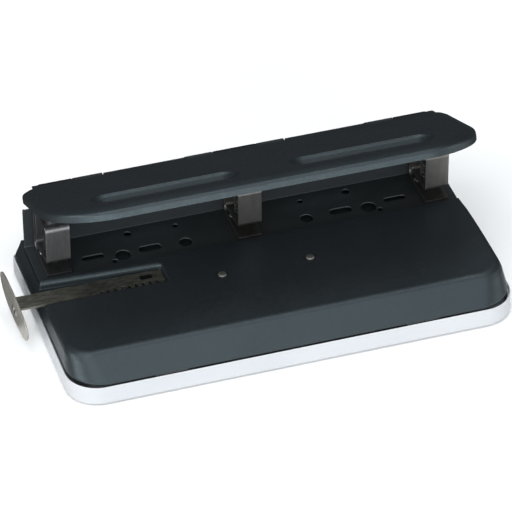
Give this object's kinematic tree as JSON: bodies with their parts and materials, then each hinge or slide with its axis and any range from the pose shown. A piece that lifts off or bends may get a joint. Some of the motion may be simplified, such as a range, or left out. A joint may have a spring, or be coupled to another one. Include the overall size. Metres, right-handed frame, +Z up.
{
  "type": "hole punch",
  "caption": "Desk paper punch with a wide sprung lever over strip-steel punch heads on a low base, a sliding paper guide and a drop-open chip tray.",
  "frame": {"origin": "centre of the chip tray's footprint, on the surface it stands on (bottom of the middle rubber foot)", "axes": "+X to the right along the lever, +Y to the back (hinge side; paper goes in from -Y), +Z up"},
  "size_m": [0.2627, 0.1297, 0.097],
  "materials": {
    "tray": "smooth semi-gloss moulded plastic",
    "rubber": "matt",
    "spring_steel": "oiled spring steel",
    "zinc": "bright zinc plate",
    "black_enamel": "black textured baked enamel",
    "rivet": "bright, slightly dull",
    "head_steel": "grey satin nickel plate",
    "tool_steel": "ground steel",
    "rule_steel": "flat dull steel strip",
    "stop_steel": "satin steel",
    "dark_steel": "blackened steel"
  },
  "bodies": {
    "base": {"base_cover": "black_enamel", "cover_brace": "zinc", "cover_rivets": "rivet", "rear_rail": "black_enamel", "head_rivets": "rivet", "left_head_bracket": "head_steel", "middle_head_bracket": "head_steel", "right_head_bracket": "head_steel", "left_return_spring": "spring_steel", "middle_return_spring": "spring_steel", "right_return_spring": "spring_steel", "hinge_rod": "zinc", "guide_detent": "spring_steel", "tray_hinge_upper": "black_enamel", "tray_hinge_pins": "zinc"},
    "lever": {"lever_handle": "black_enamel", "pin_pressers": "zinc"},
    "left_punch": {"left_punch_pin": "tool_steel", "left_pin_clip": "spring_steel"},
    "middle_punch": {"middle_punch_pin": "tool_steel", "middle_pin_clip": "spring_steel"},
    "right_punch": {"right_punch_pin": "tool_steel", "right_pin_clip": "spring_steel"},
    "paper_guide": {"guide_rule": "rule_steel", "guide_stop": "stop_steel", "guide_rivets": "rivet", "guide_key": "dark_steel"},
    "chip_tray": {"base_tray": "tray", "rubber_feet": "rubber", "tray_catch": "spring_steel", "tray_hinge_lower": "zinc"}
  },
  "joints": [
    {"name": "lever_hinge", "type": "hinge", "parent": "base", "child": "lever", "pos_m": [0, 0.0513, 0.0604], "axis": [1, 0, 0], "range_deg": [0, 22], "stiffness_Nm_per_rad": 0.9, "springref_deg": -20.05},
    {"name": "left_punch_slide", "type": "slide", "parent": "base", "child": "left_punch", "axis": [0, 0, -1], "range_m": [0, 0.0059], "deforming": ["left_return_spring"]},
    {"name": "middle_punch_slide", "type": "slide", "parent": "base", "child": "middle_punch", "axis": [0, 0, -1], "range_m": [0, 0.0059], "deforming": ["middle_return_spring"]},
    {"name": "right_punch_slide", "type": "slide", "parent": "base", "child": "right_punch", "axis": [0, 0, -1], "range_m": [0, 0.0059], "deforming": ["right_return_spring"]},
    {"name": "guide_slide", "type": "slide", "parent": "base", "child": "paper_guide", "axis": [1, 0, 0], "range_m": [-0.05, 0]},
    {"name": "tray_hinge", "type": "hinge", "parent": "base", "child": "chip_tray", "pos_m": [0, 0.06495, 0.01255], "axis": [1, 0, 0], "range_deg": [0, 28]}
  ],
  "couplings": [
    {"joint": "left_punch_slide", "follows": "lever_hinge", "m_per_rad": 0.0152},
    {"joint": "middle_punch_slide", "follows": "lever_hinge", "m_per_rad": 0.0152},
    {"joint": "right_punch_slide", "follows": "lever_hinge", "m_per_rad": 0.0152}
  ]
}
